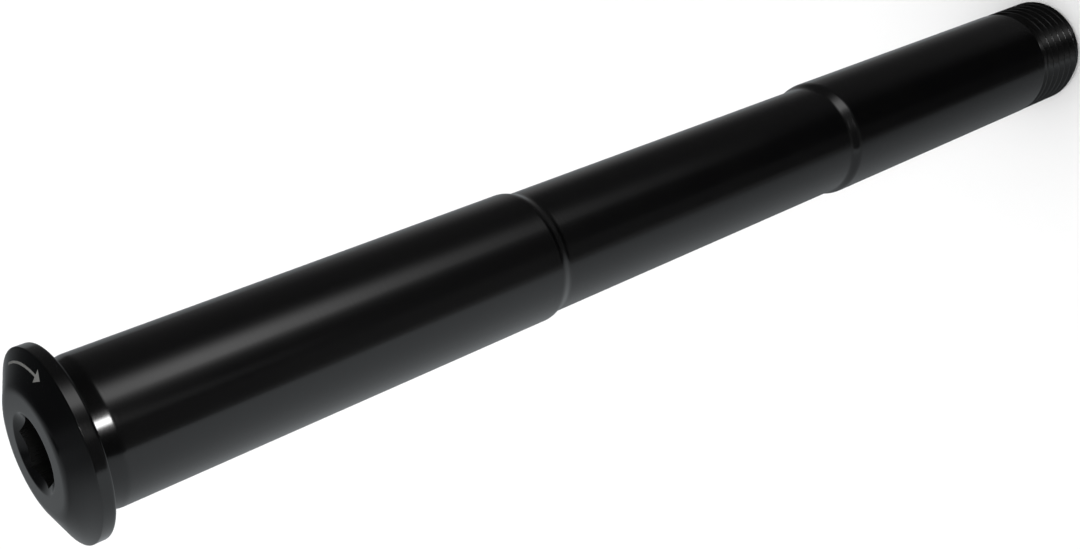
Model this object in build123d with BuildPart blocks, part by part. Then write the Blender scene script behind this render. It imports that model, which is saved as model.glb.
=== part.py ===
"""Front thru axle of a bicycle: one turned, drilled and broached piece of aluminium.

The axle stands on its threaded tip with its head up. +Z runs along the axis and
z = 0 is the end face of the tip. Millimetres.
"""

import os
from math import cos, radians, tan

from build123d import *

# Stations along the axle, measured from the seat under the head towards the tip
seat_to_tip = 158.0
neck_length = 2.25
near_journal_end = 53.75
relief_length = 51.3
taper_length = 1.2
thread_length = 10.0
runout_width = 0.8

# Outside of the shaft
journal_diameter = 14.96
neck_diameter = 13.9
relief_diameter = 14.1
thread_diameter = 14.9
thread_flank_angle = 30.0
runout_depth = 0.45
tip_chamfer_depth = 0.9
tip_chamfer_length = 0.5
seat_fillet = 0.4

# Head: a round rim that bears on the fork, and a cone that rises to a flat face
head_diameter = 19.0
head_rise = 3.0
rim_thickness = 1.35
face_diameter = 12.3
face_fillet = 2.0
rim_front_fillet = 0.15
rim_back_fillet = 0.25

# Bore drilled up from the tip, and the hexagon broached down into it from the head
bore_diameter = 10.0
bore_chamfer = 0.4
drill_point_angle = 118.0
hex_across_flats = 6.0
hex_depth = 10.5
lead_in_width = 0.5
lead_in_angle = 120.0

seat_height = seat_to_tip
face_height = seat_height + head_rise
bore_top = face_height - hex_depth
bore_radius = bore_diameter / 2
drill_point = bore_radius / tan(radians(drill_point_angle / 2))
hex_corner_radius = hex_across_flats / 2 / cos(radians(30))
lead_in_radius = hex_corner_radius + lead_in_width

journal_radius = journal_diameter / 2
relief_radius = relief_diameter / 2
thread_radius = thread_diameter / 2
neck_radius = neck_diameter / 2
rim_radius = head_diameter / 2
face_radius = face_diameter / 2

# The groove that the thread tool leaves where it is drawn back, with the thread's own flanks
runout_radius = thread_radius - runout_depth
runout_start = thread_length - runout_width
lower_flank = runout_depth * tan(radians(thread_flank_angle))
upper_flank = (journal_radius - runout_radius) * tan(radians(thread_flank_angle))

relief_top = seat_height - near_journal_end
relief_bottom = relief_top - relief_length

# The half section of the blank, as the lathe and the drill leave it
with BuildPart() as axle:
    with BuildSketch(Plane.XZ) as section:
        with BuildLine() as outline:
            Polyline(
                (bore_radius + bore_chamfer, 0),
                (thread_radius - tip_chamfer_depth, 0),
                (thread_radius, tip_chamfer_length),
                (thread_radius, runout_start),
                (runout_radius, runout_start + lower_flank),
                (runout_radius, thread_length - upper_flank),
                (journal_radius, thread_length),
                (journal_radius, relief_bottom),
                (relief_radius, relief_bottom + taper_length),
                (relief_radius, relief_top - taper_length),
                (journal_radius, relief_top),
                (journal_radius, seat_height - neck_length),
                (neck_radius, seat_height),
                (rim_radius, seat_height),
                (rim_radius, seat_height + rim_thickness),
                (face_radius, face_height),
                (0, face_height),
                (0, bore_top + drill_point),
                (bore_radius, bore_top),
                (bore_radius, bore_chamfer),
                close=True,
            )
        make_face()
    revolve(axis=Axis.Z)

    # Edges broken on the head, and the corner where the neck runs into the seat
    rim_circles = axle.edges().filter_by(GeomType.CIRCLE).group_by(SortBy.RADIUS)[-1]
    face_circles = axle.edges().group_by(Axis.Z)[-1]
    seat_circles = axle.edges().filter_by_position(Axis.Z, seat_height, seat_height)
    fillet(face_circles, face_fillet)
    fillet(rim_circles.sort_by(Axis.Z)[-1:], rim_front_fillet)
    fillet(rim_circles.sort_by(Axis.Z)[:1], rim_back_fillet)
    fillet(seat_circles.sort_by(SortBy.RADIUS)[:1], seat_fillet)

    # Hexagon for the key, with a round lead-in that guides the key to it
    with BuildSketch(Plane.XY.offset(face_height)) as hexagon:
        RegularPolygon(hex_across_flats / 2, 6, major_radius=False)
    extrude(amount=-hex_depth, mode=Mode.SUBTRACT)

    with BuildSketch(Plane.XZ) as lead_in:
        with BuildLine():
            Polyline(
                (0, face_height),
                (lead_in_radius, face_height),
                (0, face_height - lead_in_radius / tan(radians(lead_in_angle / 2))),
                close=True,
            )
        make_face()
    revolve(axis=Axis.Z, mode=Mode.SUBTRACT)

axle.part.label = "axle"

os.makedirs("parts", exist_ok=True)
export_step(axle.part, "parts/axle.step")
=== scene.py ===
from math import cos, hypot, pi, radians, sin, tan

import bmesh
import bpy
from mathutils import Matrix, Quaternion, Vector


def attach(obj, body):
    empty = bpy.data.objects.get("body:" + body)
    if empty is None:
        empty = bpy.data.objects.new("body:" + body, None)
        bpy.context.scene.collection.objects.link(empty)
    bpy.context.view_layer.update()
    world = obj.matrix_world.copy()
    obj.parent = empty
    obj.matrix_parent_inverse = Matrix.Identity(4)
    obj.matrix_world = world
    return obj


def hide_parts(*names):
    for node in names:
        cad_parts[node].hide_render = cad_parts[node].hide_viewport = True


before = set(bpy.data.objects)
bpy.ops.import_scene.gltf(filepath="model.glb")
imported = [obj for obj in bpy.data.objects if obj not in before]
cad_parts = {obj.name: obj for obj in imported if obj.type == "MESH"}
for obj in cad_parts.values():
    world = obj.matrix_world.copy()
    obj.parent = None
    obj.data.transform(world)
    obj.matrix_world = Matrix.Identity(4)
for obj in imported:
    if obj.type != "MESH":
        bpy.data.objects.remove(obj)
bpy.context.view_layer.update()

# Shaft and head: one bar of aluminium, turned on a lathe from its head to the start of its thread.
# The head's rim bears on the fork, the two journals carry the hub, and the waist between them is
# turned down to save weight. Every corner is broken a little, and the mesh is made in millimetres.
face_height = 161.0
face_radius = 6.15
lead_in_radius = 3.964
lead_in_slope = 1 / tan(radians(60))
mouth_radius = 3.8  # the lead-in is turned down to this ring, and goes on from there to the hexagon
mouth_height = face_height - (lead_in_radius - mouth_radius) * lead_in_slope
seat_height = 158.0
rim_radius = 9.5
rim_thickness = 1.35
neck_radius = 6.95
neck_length = 2.25
journal_radius = 7.48
near_journal_end = 104.25
far_journal_start = 52.95
waist_radius = 7.05
taper_length = 1.2
thread_end = 10.0
runout_radius = 7.0
runout_upper_edge = 9.723
runout_height = 9.46
steps_round = 288  # divides by six, so that each corner of the socket falls on a vertex

axle = bmesh.new()
turned_outline = [  # radius, height, and how far the corner is broken along each side
    (mouth_radius, mouth_height, 0),
    (lead_in_radius, face_height, 0.06),
    (face_radius, face_height, 0.48),
    (rim_radius, seat_height + rim_thickness, 0.015),
    (rim_radius, seat_height, 0.25),
    (neck_radius, seat_height, 0.3),
    (journal_radius, seat_height - neck_length, 0.2),
    (journal_radius, near_journal_end, 0.3),
    (waist_radius, near_journal_end - taper_length, 0.3),
    (waist_radius, far_journal_start + taper_length, 0.3),
    (journal_radius, far_journal_start, 0.3),
    (journal_radius, thread_end, 0.06),
    (runout_radius, runout_upper_edge, 0.05),
    (runout_radius, runout_height, 0),
]
corners = [axle.verts.new((radius, 0, height)) for radius, height, broken in turned_outline]
for upper, lower in zip(corners, corners[1:]):
    axle.edges.new((upper, lower))
for corner, (radius, height, broken) in zip(corners, turned_outline):
    if broken:
        bmesh.ops.bevel(
            axle, geom=[corner], offset=broken, offset_type="OFFSET", segments=4,
            profile=0.5, affect="VERTICES", material=-1,
        )
support_gap = 0.15  # a ring this near to each end keeps the corner's shading off the long faces
longest_run = 4.0
for run in [edge for edge in axle.edges if edge.calc_length() > 4 * support_gap]:
    for end in list(run.verts):
        bmesh.utils.edge_split(run, end, support_gap / run.calc_length())
for run in [edge for edge in axle.edges if edge.calc_length() > longest_run]:
    bmesh.ops.subdivide_edges(axle, edges=[run], cuts=int(run.calc_length() / longest_run))
bmesh.ops.spin(
    axle, geom=axle.verts[:] + axle.edges[:], cent=(0, 0, 0), axis=(0, 0, 1),
    dvec=(0, 0, 0), angle=2 * pi, steps=steps_round, use_merge=True,
)

# Thread: M15 x 1.5, right-handed, cut with a 60 degree tool that is drawn back into the run-out groove.
# It is made unrolled, as a straight corrugated strip with its arc along X, its height along Y and its
# radius along Z, then trimmed to the turned blank and wrapped round the axle.
pitch = 1.5
crest_radius = 7.45
root_radius = 6.58
crest_flat = 0.19
crest_rounding = 0.04
root_rounding = 0.09
first_crest = 0.35
flank = (crest_radius - root_radius) * tan(radians(30))
tip_radius = 6.55
tip_chamfer_height = 0.5
root_rise_start = 8.0
runout_start = 9.2
arc_step = 2 * pi * crest_radius / steps_round
cut_distance = 1e-5
on_cut = 1e-4
off_step = 1e-3

thread = bmesh.new()
teeth = []
for turn in range(-3, 9):  # enough teeth to reach past both ends while the strip climbs one pitch
    start = first_crest + turn * pitch
    teeth += [
        (thread.verts.new((0, start, crest_radius)), crest_rounding),
        (thread.verts.new((0, start + crest_flat, crest_radius)), crest_rounding),
        (thread.verts.new((0, start + crest_flat + flank, root_radius)), root_rounding),
        (thread.verts.new((0, start + pitch - flank, root_radius)), root_rounding),
    ]
tooth_line = [corner for corner, rounding in teeth]
for lower, upper in zip(tooth_line, tooth_line[1:]):
    thread.edges.new((lower, upper))
for corner, rounding in teeth[1:-1]:
    bmesh.ops.bevel(
        thread, geom=[corner], offset=rounding, offset_type="OFFSET", segments=2,
        profile=0.5, affect="VERTICES", material=-1,
    )
bmesh.ops.spin(
    thread, geom=thread.verts[:] + thread.edges[:], cent=(0, 0, 0), axis=(0, 0, 1),
    dvec=(arc_step, pitch / steps_round, 0), angle=0, steps=steps_round,
)
for height, outwards in ((0, -1), (runout_height, 1)):
    bmesh.ops.bisect_plane(
        thread, geom=thread.verts[:] + thread.edges[:] + thread.faces[:], dist=cut_distance,
        plane_co=(0, height, 0), plane_no=(0, outwards, 0), clear_outer=True,
    )


def trim_strip(strip, line, side):
    """Cuts the strip along a line of (height, radius) points, and moves what stands past it onto it."""
    for (low, low_radius), (high, high_radius) in zip(line, line[1:]):
        for height in (low, high):
            bmesh.ops.bisect_plane(
                strip, geom=strip.verts[:] + strip.edges[:] + strip.faces[:], dist=cut_distance,
                plane_co=(0, height, 0), plane_no=(0, 1, 0),
            )
        band = [face for face in strip.faces if low < face.calc_center_median().y < high]
        edges = {edge for face in band for edge in face.edges}
        verts = {vert for face in band for vert in face.verts}
        bmesh.ops.bisect_plane(
            strip, geom=list(verts) + list(edges) + band, dist=cut_distance,
            plane_co=(0, low, low_radius), plane_no=(0, low_radius - high_radius, high - low),
        )
        for vert in strip.verts:
            if low - on_cut <= vert.co.y <= high + on_cut:
                limit = low_radius + (high_radius - low_radius) * (vert.co.y - low) / (high - low)
                if (vert.co.z - limit) * side > 0:
                    vert.co.z = limit


trim_strip(thread, [(root_rise_start, root_radius), (runout_height, runout_radius)], -1)
trim_strip(thread, [(0, tip_radius), (tip_chamfer_height, crest_radius)], 1)
trim_strip(thread, [(runout_start, crest_radius), (runout_height, runout_radius)], 1)
loose_ends = [  # on the strip's two ends, what lies between the axle's steps has nothing to merge with
    vert for vert in thread.verts
    if min(vert.co.y, runout_height - vert.co.y) < on_cut
    and abs(vert.co.x / arc_step - round(vert.co.x / arc_step)) > off_step
]
bmesh.ops.dissolve_verts(thread, verts=loose_ends)
for vert in thread.verts:
    turned = vert.co.x / crest_radius
    vert.co = (vert.co.z * cos(turned), vert.co.z * sin(turned), vert.co.y)
for face in thread.faces:
    face.material_index = 1
strip_mesh = bpy.data.meshes.new("thread_strip")
thread.to_mesh(strip_mesh)
thread.free()
axle.from_mesh(strip_mesh)
bpy.data.meshes.remove(strip_mesh)

# Hollow and socket: a drill runs up the bar from its tip and stops on its point under the head, and a
# six millimetre hexagon is broached down to it from the head, through a round countersunk lead-in.
bore_radius = 5.0
bore_chamfer = 0.4
bore_top = 150.5
bore_cuts = 15
drill_slope = 1 / tan(radians(118 / 2))
hexagon_across_flats = 6.0
hexagon_radius = hexagon_across_flats / 2 / cos(radians(30))
merge_distance = 0.002
ring_tolerance = 0.01
sharp_angle = radians(32)
to_metres = 0.001

bore_outline = [
    (tip_radius, 0),
    (bore_radius + bore_chamfer, 0),
    (bore_radius, bore_chamfer),
    (bore_radius, bore_top),
]
bore = [axle.verts.new((radius, 0, height)) for radius, height in bore_outline]
bore_lines = [axle.edges.new((lower, upper)) for lower, upper in zip(bore, bore[1:])]
bmesh.ops.subdivide_edges(axle, edges=bore_lines[-1:], cuts=bore_cuts)
bore_lines = [edge for edge in axle.edges if edge.is_wire]
bore = list({vert for edge in bore_lines for vert in edge.verts})
bmesh.ops.spin(
    axle, geom=bore + bore_lines, cent=(0, 0, 0), axis=(0, 0, 1),
    dvec=(0, 0, 0), angle=2 * pi, steps=steps_round, use_merge=True,
)
bmesh.ops.remove_doubles(axle, verts=axle.verts[:], dist=merge_distance)


def open_ring(solid, radius, height):
    """The edges of the open ring of that radius at that height."""
    ring_verts = {
        vert for vert in solid.verts
        if abs(hypot(vert.co.x, vert.co.y) - radius) < ring_tolerance
        and abs(vert.co.z - height) < ring_tolerance
    }
    return [edge for edge in solid.edges if edge.is_boundary and ring_verts.issuperset(edge.verts)]


mouth = open_ring(axle, mouth_radius, mouth_height)
corner_circle = bmesh.ops.create_circle(
    axle, cap_ends=False, segments=6, radius=hexagon_radius, matrix=Matrix.Rotation(pi / 2, 4, "Z"),
)["verts"]
hexagon = list({edge for vert in corner_circle for edge in vert.link_edges})
bmesh.ops.subdivide_edges(axle, edges=hexagon, cuts=steps_round // 6 - 1)
hexagon = [edge for edge in axle.edges if edge.is_wire]
for vert in {vert for edge in hexagon for vert in edge.verts}:
    vert.co.z = face_height - (lead_in_radius - hypot(vert.co.x, vert.co.y)) * lead_in_slope
bmesh.ops.bridge_loops(axle, edges=mouth + hexagon)
broached = bmesh.ops.extrude_edge_only(axle, edges=hexagon)["geom"]
for flat in [part for part in broached if isinstance(part, bmesh.types.BMFace)]:
    flat.material_index = 2
for vert in [part for part in broached if isinstance(part, bmesh.types.BMVert)]:
    vert.co.z = bore_top + (bore_radius - hypot(vert.co.x, vert.co.y)) * drill_slope
foot = [part for part in broached if isinstance(part, bmesh.types.BMEdge) and part.is_boundary]
bmesh.ops.bridge_loops(axle, edges=foot + open_ring(axle, bore_radius, bore_top))

bmesh.ops.remove_doubles(axle, verts=axle.verts[:], dist=merge_distance)
bmesh.ops.recalc_face_normals(axle, faces=axle.faces[:])
for face in axle.faces:
    face.smooth = True
for edge in axle.edges:
    edge.smooth = not edge.is_manifold or edge.calc_face_angle() < sharp_angle
bmesh.ops.scale(axle, vec=(to_metres, to_metres, to_metres), verts=axle.verts[:])
axle_mesh = bpy.data.meshes.new("thru_axle")
axle.to_mesh(axle_mesh)
axle.free()
thru_axle = bpy.data.objects.new("thru_axle", axle_mesh)
bpy.context.scene.collection.objects.link(thru_axle)
even_shading = thru_axle.modifiers.new("even_shading", "WEIGHTED_NORMAL")
even_shading.keep_sharp = True

# Finish: the turned bar is dyed black in its anodic film and sealed, which leaves a hard, glossy skin
# that mirrors its surroundings at glancing angles and shows the lathe's fine rings in its highlights.
# A laser burns the dye out of the film in a pale arrow on the head, which shows the way to tighten.


def from_hex(code):
    """Linear colour of an sRGB hex code."""
    levels = [int(code[i:i + 2], 16) / 255 for i in (1, 3, 5)]
    return [v / 12.92 if v <= 0.04045 else ((v + 0.055) / 1.055) ** 2.4 for v in levels] + [1.0]


def add_node(tree, kind, sockets, **settings):
    """Adds a node with its settings, and gives each socket a value or a link."""
    node = tree.nodes.new(kind)
    for name, value in settings.items():
        setattr(node, name, value)
    for name, value in sockets.items():
        if isinstance(value, bpy.types.NodeSocket):
            tree.links.new(value, node.inputs[name])
        else:
            node.inputs[name].default_value = value
    return node


black_anodised = bpy.data.materials.new("gloss_black_anodised_aluminium")
black_anodised.use_nodes = True
skin = black_anodised.node_tree
skin.nodes.clear()
place = add_node(skin, "ShaderNodeTexCoord", {}).outputs["Object"]
axes = add_node(skin, "ShaderNodeSeparateXYZ", {"Vector": place})
off_axis = add_node(skin, "ShaderNodeVectorMath", {0: place, 1: (1, 1, 0)}, operation="MULTIPLY")
radius = add_node(
    skin, "ShaderNodeVectorMath", {0: off_axis.outputs[0]}, operation="LENGTH",
).outputs["Value"]
ring = add_node(skin, "ShaderNodeMath", {0: axes.outputs["Z"], 1: radius}, operation="SUBTRACT")
feed = 0.0003  # the lathe's feed is near 0.1 mm, drawn three times as coarse so that it shows
rings = add_node(
    skin, "ShaderNodeTexNoise", {"W": ring.outputs[0], "Scale": 1 / feed, "Detail": 2.0},
    noise_dimensions="1D",
)
cloud_size = 0.006
cloud = add_node(skin, "ShaderNodeTexNoise", {"Vector": place, "Scale": 1 / cloud_size, "Detail": 3.0})
dye = add_node(
    skin, "ShaderNodeMix",
    {"Factor": cloud.outputs["Fac"], "A": from_hex("#020203"), "B": from_hex("#040404")},
    data_type="RGBA",
)
gloss = add_node(
    skin, "ShaderNodeMapRange",
    {"Value": cloud.outputs["Fac"], "From Min": 0.3, "From Max": 0.7, "To Min": 0.13, "To Max": 0.17},
)
relief = add_node(
    skin, "ShaderNodeBump", {"Height": rings.outputs["Fac"], "Strength": 0.02, "Distance": 0.0001},
)

arrow_radius = 0.00828
arrow_half_width = 0.00011
barb_half_width = 0.0006
burn_edge = (-0.00002, 0.00003)  # the burn fades over this span across its outline
burn_foot = 0.15938  # the burn stays on the cone, above the rim's front corner
burn_roughness = 0.6
arrow_tail = radians(15.5)
arrow_neck = radians(-29.0)
arrow_tip = radians(-35.2)
about = add_node(
    skin, "ShaderNodeMath", {0: axes.outputs["Y"], 1: axes.outputs["X"]}, operation="ARCTAN2",
).outputs["Value"]
off_line = add_node(skin, "ShaderNodeMath", {0: radius, 1: arrow_radius}, operation="SUBTRACT")
off_line = add_node(skin, "ShaderNodeMath", {0: off_line.outputs[0]}, operation="ABSOLUTE").outputs[0]
barbs = add_node(
    skin, "ShaderNodeMapRange",
    {
        "Value": about, "From Min": arrow_tip, "From Max": arrow_neck,
        "To Min": 0.0, "To Max": barb_half_width,
    },
)
past_neck = add_node(
    skin, "ShaderNodeMath", {0: about, 1: arrow_neck}, operation="LESS_THAN",
).outputs[0]
half_width = add_node(
    skin, "ShaderNodeMix", {"Factor": past_neck, "A": arrow_half_width, "B": barbs.outputs["Result"]},
)
inside = add_node(
    skin, "ShaderNodeMath", {0: half_width.outputs["Result"], 1: off_line}, operation="SUBTRACT",
)
mark = add_node(
    skin, "ShaderNodeMapRange",
    {"Value": inside.outputs[0], "From Min": burn_edge[0], "From Max": burn_edge[1]},
).outputs["Result"]
for reading, limit, side in (
    (about, arrow_tail, "LESS_THAN"),
    (about, arrow_tip, "GREATER_THAN"),
    (axes.outputs["Z"], burn_foot, "GREATER_THAN"),
):
    within = add_node(skin, "ShaderNodeMath", {0: reading, 1: limit}, operation=side)
    mark = add_node(
        skin, "ShaderNodeMath", {0: mark, 1: within.outputs[0]}, operation="MULTIPLY",
    ).outputs[0]
tone = add_node(
    skin, "ShaderNodeMix", {"Factor": mark, "A": dye.outputs["Result"], "B": from_hex("#5E5E5C")},
    data_type="RGBA",
)
roughness = add_node(
    skin, "ShaderNodeMix", {"Factor": mark, "A": gloss.outputs["Result"], "B": burn_roughness},
)
film = add_node(
    skin, "ShaderNodeBsdfPrincipled",
    {
        "Base Color": tone.outputs["Result"], "Roughness": roughness.outputs["Result"],
        "Normal": relief.outputs["Normal"], "IOR": 1.5, "Metallic": 0.0,
    },
)
add_node(skin, "ShaderNodeOutputMaterial", {"Surface": film.outputs["BSDF"]})
axle_mesh.materials.append(black_anodised)

# The thread and the hexagon are cut and not turned. The chaser leaves fine rings on the thread's glossy
# flanks, and the broach leaves dull scores along the hexagon's flats. A score's size is given along X, Y
# and Z.
for name, dark, pale, smooth, dull, score in (
    ("gloss_black_anodised_thread", "#030303", "#080808", 0.12, 0.17, (0.0006, 0.0006, 0.00006)),
    ("dull_black_anodised_broached_flats", "#0C0C0C", "#151514", 0.25, 0.34, (0.00012, 0.00012, 0.004)),
):
    cut_black = bpy.data.materials.new(name)
    cut_black.use_nodes = True
    cut = cut_black.node_tree
    cut.nodes.clear()
    cut_place = add_node(cut, "ShaderNodeTexCoord", {}).outputs["Object"]
    along_score = add_node(cut, "ShaderNodeVectorMath", {0: cut_place, 1: score}, operation="DIVIDE")
    scores = add_node(
        cut, "ShaderNodeTexNoise", {"Vector": along_score.outputs[0], "Scale": 1.0, "Detail": 2.0},
    )
    cut_tone = add_node(
        cut, "ShaderNodeMix",
        {"Factor": scores.outputs["Fac"], "A": from_hex(dark), "B": from_hex(pale)}, data_type="RGBA",
    )
    cut_gloss = add_node(
        cut, "ShaderNodeMapRange",
        {
            "Value": scores.outputs["Fac"], "From Min": 0.3, "From Max": 0.7,
            "To Min": smooth, "To Max": dull,
        },
    )
    cut_relief = add_node(
        cut, "ShaderNodeBump", {"Height": scores.outputs["Fac"], "Strength": 0.1, "Distance": 0.00001},
    )
    cut_film = add_node(
        cut, "ShaderNodeBsdfPrincipled",
        {
            "Base Color": cut_tone.outputs["Result"], "Roughness": cut_gloss.outputs["Result"],
            "Normal": cut_relief.outputs["Normal"], "IOR": 1.5, "Metallic": 0.0,
        },
    )
    add_node(cut, "ShaderNodeOutputMaterial", {"Surface": cut_film.outputs["BSDF"]})
    axle_mesh.materials.append(cut_black)

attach(thru_axle, "root")
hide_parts("axle")

# Stage: a pale floor under the axle and a wide soft light above it, both out of its mirror-black skin.
# The skin mirrors a card close beside it that glows with painted light, brighter up towards the head and
# dimmer past it, with a painted shadow beside the axle, a painted shade above the head and a stripe that
# lights the axle's far side, and a dim room, paler overhead and low down, with a soft lamp and a small
# flash on a pole.
floor_mesh = bpy.data.meshes.new("floor")
sheet = bmesh.new()
bmesh.ops.create_grid(sheet, x_segments=1, y_segments=1, size=4.0)
sheet.to_mesh(floor_mesh)
sheet.free()
floor = bpy.data.objects.new("floor", floor_mesh)
bpy.context.scene.collection.objects.link(floor)
floor.visible_glossy = False
pale_floor = bpy.data.materials.new("pale_matt_floor")
pale_floor.use_nodes = True
for socket, value in (
    ("Base Color", from_hex("#F2F2F2")), ("Roughness", 0.9), ("Specular IOR Level", 0.0),
):
    pale_floor.node_tree.nodes["Principled BSDF"].inputs[socket].default_value = value
floor_mesh.materials.append(pale_floor)

soft_light = bpy.data.lights.new("overhead_soft_light", "SUN")
soft_light.energy = 3.2
soft_light.angle = radians(90)
overhead = bpy.data.objects.new("overhead_soft_light", soft_light)
overhead.visible_glossy = False
bpy.context.scene.collection.objects.link(overhead)

camera_side = -77


def towards(turn, rise):
    """A direction turned from the camera's side of the axle to the photo's lower side, and raised."""
    about = radians(camera_side - turn)
    rise = radians(rise)
    return Vector((cos(about) * cos(rise), sin(about) * cos(rise), sin(rise)))


card_distance = 0.0096
card_middle = Vector((0, 0, 0.08))
card_across = towards(43, 0)
card_out = towards(133, 0)
card_mesh = bpy.data.meshes.new("glowing_card")
sheet = bmesh.new()
card_place = Matrix((card_across, Vector((0, 0, 1)), card_out)).transposed().to_4x4()
card_place.translation = card_out * card_distance + card_middle
bmesh.ops.create_grid(sheet, x_segments=1, y_segments=1, size=0.5, matrix=card_place)
sheet.to_mesh(card_mesh)
sheet.free()
card = bpy.data.objects.new("glowing_card", card_mesh)
bpy.context.scene.collection.objects.link(card)
card.visible_camera = False
card.visible_diffuse = False
card.visible_shadow = False
# The card's glow is painted light, not a pale sheet lit by a lamp: its light and shade are set in its
# emission.
painted_light_card = bpy.data.materials.new("glowing_card_painted_light")
painted_light_card.use_nodes = True
card_mesh.materials.append(painted_light_card)
glow = painted_light_card.node_tree
glow.nodes.clear()
spot = add_node(glow, "ShaderNodeTexCoord", {}).outputs["Object"]
up = add_node(glow, "ShaderNodeSeparateXYZ", {"Vector": spot}).outputs["Z"]
across = add_node(
    glow, "ShaderNodeVectorMath", {0: spot, 1: card_across}, operation="DOT_PRODUCT",
).outputs["Value"]
slope = 0.6  # the card pales towards the head along lines that slope across it
slant = add_node(
    glow, "ShaderNodeMath", {0: across, 1: slope, 2: up}, operation="MULTIPLY_ADD",
).outputs["Value"]

studio = bpy.data.worlds.new("studio")
studio.use_nodes = True
bpy.context.scene.world = studio
air = studio.node_tree
air.nodes.clear()
direction = add_node(air, "ShaderNodeTexCoord", {}).outputs["Generated"]
ahead = add_node(
    air, "ShaderNodeVectorMath", {0: direction, 1: towards(0, 0)}, operation="DOT_PRODUCT",
)
aside = add_node(
    air, "ShaderNodeVectorMath", {0: direction, 1: towards(90, 0)}, operation="DOT_PRODUCT",
)
turn = add_node(
    air, "ShaderNodeMath", {0: aside.outputs["Value"], 1: ahead.outputs["Value"]}, operation="ARCTAN2",
)
turn = add_node(air, "ShaderNodeMath", {0: turn.outputs[0]}, operation="DEGREES").outputs["Value"]
rise = add_node(air, "ShaderNodeSeparateXYZ", {"Vector": direction}).outputs["Z"]
rise = add_node(air, "ShaderNodeMath", {0: rise}, operation="ARCSINE")
rise = add_node(air, "ShaderNodeMath", {0: rise.outputs[0]}, operation="DEGREES").outputs["Value"]
flash_place = towards(-4.5, 8.5)
flash_off = add_node(
    air, "ShaderNodeVectorMath", {0: direction, 1: flash_place}, operation="DOT_PRODUCT",
)
flash_off = add_node(air, "ShaderNodeMath", {0: flash_off.outputs["Value"]}, operation="ARCCOSINE")
flash_off = add_node(
    air, "ShaderNodeMath", {0: flash_off.outputs[0]}, operation="DEGREES",
).outputs["Value"]

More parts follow.
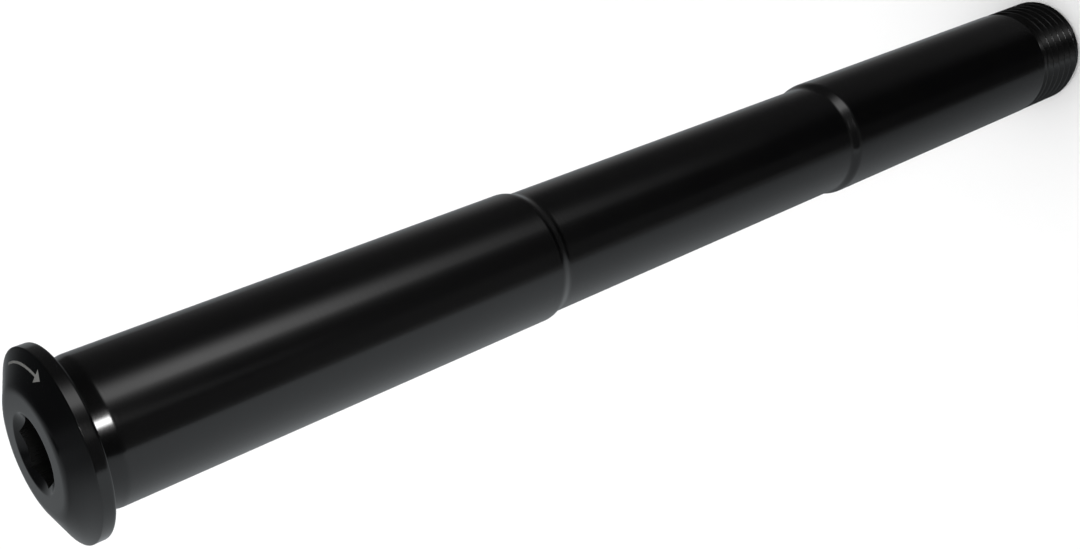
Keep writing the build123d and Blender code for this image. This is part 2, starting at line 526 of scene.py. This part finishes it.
tones = {}  # each is a reading's grey along a ramp: metres on the card, degrees in the room
for name, tree, reading, stops in (
    ("card along", glow, slant, [
        (-0.1, 0.2), (-0.05, 0.24), (0.0, 0.28), (0.026, 0.34), (0.042, 0.4), (0.057, 0.44),
        (0.077, 0.53), (0.097, 0.64), (0.11, 0.74), (0.128, 0.78), (0.142, 0.83), (0.2, 0.83),
    ]),
    ("card past head", glow, up, [
        (0.14, 1.0), (0.15, 0.95), (0.158, 0.85), (0.165, 0.8), (0.171, 0.78), (0.177, 0.72),
        (0.185, 0.55), (0.198, 0.42), (0.215, 0.3), (0.25, 0.18), (0.3, 0.1),
    ]),
    # the dip in the card's glow at 0.002 is a painted shadow of the axle, where it stands closest to the
    # card
    ("card near, painted shadow", glow, across, [
        (-0.029, 0.0), (-0.0215, 0.28), (-0.0152, 0.5), (-0.002, 0.5), (0.002, 0.36), (0.004, 0.5),
        (0.006, 0.75), (0.009, 0.9), (0.013, 1.0),
    ]),
    ("card far", glow, across, [(-0.03, 0.33), (-0.022, 0.2), (-0.015, 0.08), (-0.005, 0.0)]),
    ("card far past head", glow, up, [
        (0.15, 1.0), (0.158, 0.6), (0.164, 0.38), (0.17, 0.3), (0.18, 0.18), (0.2, 0.13), (0.3, 0.1),
    ]),
    ("card shade", glow, across, [(-0.0175, 0.0), (-0.0145, 0.8), (-0.0068, 0.8), (-0.0055, 0.0)]),
    ("card shade above head", glow, up, [(0.18, 0.0), (0.187, 1.0), (0.205, 1.0), (0.209, 0.0)]),
    ("card stripe", glow, across, [(-0.0065, 0.0), (-0.0045, 1.0), (-0.0025, 1.0), (-0.0008, 0.0)]),
    ("card stripe below head", glow, up, [(0.0, 1.0), (0.13, 1.0), (0.15, 0.0)]),
    ("room", air, rise, [
        (-90, 0.055), (-74, 0.055), (-63, 0.02), (-55, 0.008), (-47, 0.02), (-40, 0.05), (-33, 0.085),
        (-20, 0.095), (-5, 0.075), (5, 0.05), (20, 0.03), (45, 0.02), (60, 0.03), (75, 0.055),
        (90, 0.1),
    ]),
    ("side turn", air, turn, [(-180, 1.0), (-60, 1.0), (-30, 0.0), (180, 0.0)]),
    ("side rise", air, rise, [(-75, 0.06), (-57, 0.07), (-47, 0.05), (-40, 0.02), (-33, 0.0)]),
    ("far turn", air, turn, [
        (-180, 1.0), (-134, 1.0), (-124, 0.7), (-116, 0.4), (-108, 0.12), (-98, 0.0), (180, 0.0),
    ]),
    ("far rise", air, rise, [
        (-60, 0.08), (-48, 0.13), (-43, 0.17), (-38, 0.25), (-35, 0.25), (-31, 0.18), (-26, 0.1),
        (-18, 0.04), (-5, 0.0),
    ]),
    ("pole turn", air, turn, [(-5, 0.0), (1, 1.0), (5, 1.0), (9, 0.0)]),
    ("pole rise", air, rise, [(-28, 0.0), (-20, 0.2), (-16, 0.18), (-11, 0.03), (0, 0.0)]),
    ("glare turn", air, turn, [(-13, 0.0), (-7, 1.0), (-2, 1.0), (4, 0.3), (14, 0.0)]),
    ("glare rise", air, rise, [(-17.5, 0.0), (-16.2, 1.0), (-15, 1.0), (-13.5, 0.0)]),
    ("low turn", air, turn, [
        (8, 0.0), (16, 0.28), (34, 0.28), (37, 0.4), (40, 1.0), (46, 1.0), (60, 0.0),
    ]),
    ("low rise", air, rise, [
        (-70, 0.05), (-54, 0.055), (-50, 0.1), (-46, 0.17), (-40, 0.22), (-30, 0.24), (-22, 0.12),
        (-14, 0.0),
    ]),
    ("top turn", air, turn, [
        (-120, 0.0), (-108, 0.15), (-98, 0.12), (-85, 0.05), (-60, 0.03), (-42, 0.03), (-28, 0.05),
        (-15, 0.3), (-10, 0.8), (-3, 0.8), (3, 0.3), (9, 0.06), (14, 0.03), (28, 0.04), (34, 0.15),
        (42, 0.45), (50, 0.5), (80, 0.5), (120, 0.0),
    ]),
    ("top rise", air, rise, [(25, 0.0), (38, 1.0), (74, 1.0), (88, 0.0)]),
    ("lamp turn", air, turn, [
        (-72, 0.0), (-64, 0.04), (-58, 0.14), (-52, 0.42), (-46, 0.8), (-41, 1.0), (-32, 1.0),
        (-28, 0.45), (-22, 0.12), (-15, 0.03), (-8, 0.0),
    ]),
    ("lamp rise", air, rise, [
        (-46, 0.0), (-38, 0.1), (-33, 0.25), (-30, 0.4), (-27, 0.75), (-22, 1.0), (-19, 0.88),
        (-17, 0.8), (-13, 0.95), (-9, 1.0), (-5, 0.7), (0, 0.1), (3, 0.0),
    ]),
    ("flash", air, flash_off, [(0, 1.0), (4.0, 1.0), (6.3, 0.05), (11, 0.02), (16, 0.0)]),
):
    first, last = stops[0][0], stops[-1][0]
    share = add_node(
        tree, "ShaderNodeMapRange", {"Value": reading, "From Min": first, "From Max": last},
    )
    ramp = add_node(tree, "ShaderNodeValToRGB", {"Fac": share.outputs["Result"]})
    ends = ramp.color_ramp.elements
    ends[0].color = (stops[0][1], stops[0][1], stops[0][1], 1)
    ends[1].color = (stops[-1][1], stops[-1][1], stops[-1][1], 1)
    for at, level in stops[1:-1]:
        ramp.color_ramp.elements.new((at - first) / (last - first)).color = (level, level, level, 1)
    tones[name] = ramp.outputs["Color"]

near_light = add_node(
    glow, "ShaderNodeVectorMath", {0: tones["card along"], 1: tones["card near, painted shadow"]}, operation="MULTIPLY",
)
near_light = add_node(
    glow, "ShaderNodeVectorMath", {0: near_light.outputs[0], 1: tones["card past head"]},
    operation="MULTIPLY",
)
shade = add_node(
    glow, "ShaderNodeVectorMath", {0: tones["card shade"], 1: tones["card shade above head"]},
    operation="MULTIPLY",
)
shade = add_node(
    glow, "ShaderNodeVectorMath", {0: near_light.outputs[0], 1: shade.outputs[0]}, operation="MULTIPLY",
)
near_light = add_node(
    glow, "ShaderNodeVectorMath", {0: near_light.outputs[0], 1: shade.outputs[0]}, operation="SUBTRACT",
)
card_light = add_node(
    glow, "ShaderNodeVectorMath",
    {0: tones["card far"], 1: tones["card far past head"], 2: near_light.outputs[0]},
    operation="MULTIPLY_ADD",
)
stripe_light = add_node(
    glow, "ShaderNodeVectorMath", {0: tones["card stripe"], 1: tones["card stripe below head"]},
    operation="MULTIPLY",
)
stripe_strength = 3.0
card_light = add_node(
    glow, "ShaderNodeVectorMath",
    {
        0: stripe_light.outputs[0], 1: (stripe_strength, stripe_strength, stripe_strength),
        2: card_light.outputs[0],
    },
    operation="MULTIPLY_ADD",
)
cool_tint = (0.95, 1.0, 1.03)
card_colour = add_node(
    glow, "ShaderNodeVectorMath", {0: card_light.outputs[0], 1: cool_tint}, operation="MULTIPLY",
)
card_glow = add_node(glow, "ShaderNodeEmission", {"Color": card_colour.outputs[0], "Strength": 1.0})
add_node(glow, "ShaderNodeOutputMaterial", {"Surface": card_glow.outputs["Emission"]})

room_light = tones["room"]
for turn_tone, rise_tone in (
    ("side turn", "side rise"), ("far turn", "far rise"), ("pole turn", "pole rise"),
    ("glare turn", "glare rise"), ("low turn", "low rise"), ("top turn", "top rise"),
):
    room_light = add_node(
        air, "ShaderNodeVectorMath", {0: tones[turn_tone], 1: tones[rise_tone], 2: room_light},
        operation="MULTIPLY_ADD",
    ).outputs[0]
lamp_light = add_node(
    air, "ShaderNodeVectorMath", {0: tones["lamp turn"], 1: tones["lamp rise"]}, operation="MULTIPLY",
)
lamp_strength = 2.3
flash_strength = 40.0
for tone, strength in ((lamp_light.outputs[0], lamp_strength), (tones["flash"], flash_strength)):
    room_light = add_node(
        air, "ShaderNodeVectorMath", {0: tone, 1: (strength, strength, strength), 2: room_light},
        operation="MULTIPLY_ADD",
    ).outputs[0]
surround = add_node(air, "ShaderNodeBackground", {"Color": room_light, "Strength": 1.0})
add_node(air, "ShaderNodeOutputWorld", {"Surface": surround.outputs["Background"]})
bpy.context.scene.view_settings.view_transform = "Standard"

# Camera: near the head and a little above it, rolled so that the axle, which stands upright, runs away
# to the upper right of the picture.
camera_lens = bpy.data.cameras.new("camera")
camera_lens.sensor_fit = "HORIZONTAL"
camera_lens.sensor_width = 36
camera_lens.lens = 48.73
camera_lens.clip_start = 0.01
camera = bpy.data.objects.new("camera", camera_lens)
stand = Vector((0.029813, -0.129155, 0.198073))
aim = Vector((-0.002472, -0.000621, 0.102532))
level_view = (aim - stand).to_track_quat("-Z", "Y")
roll = Quaternion((0, 0, 1), radians(-112.597))
camera.matrix_world = Matrix.Translation(stand) @ (level_view @ roll).to_matrix().to_4x4()
bpy.context.scene.collection.objects.link(camera)
bpy.context.scene.camera = camera
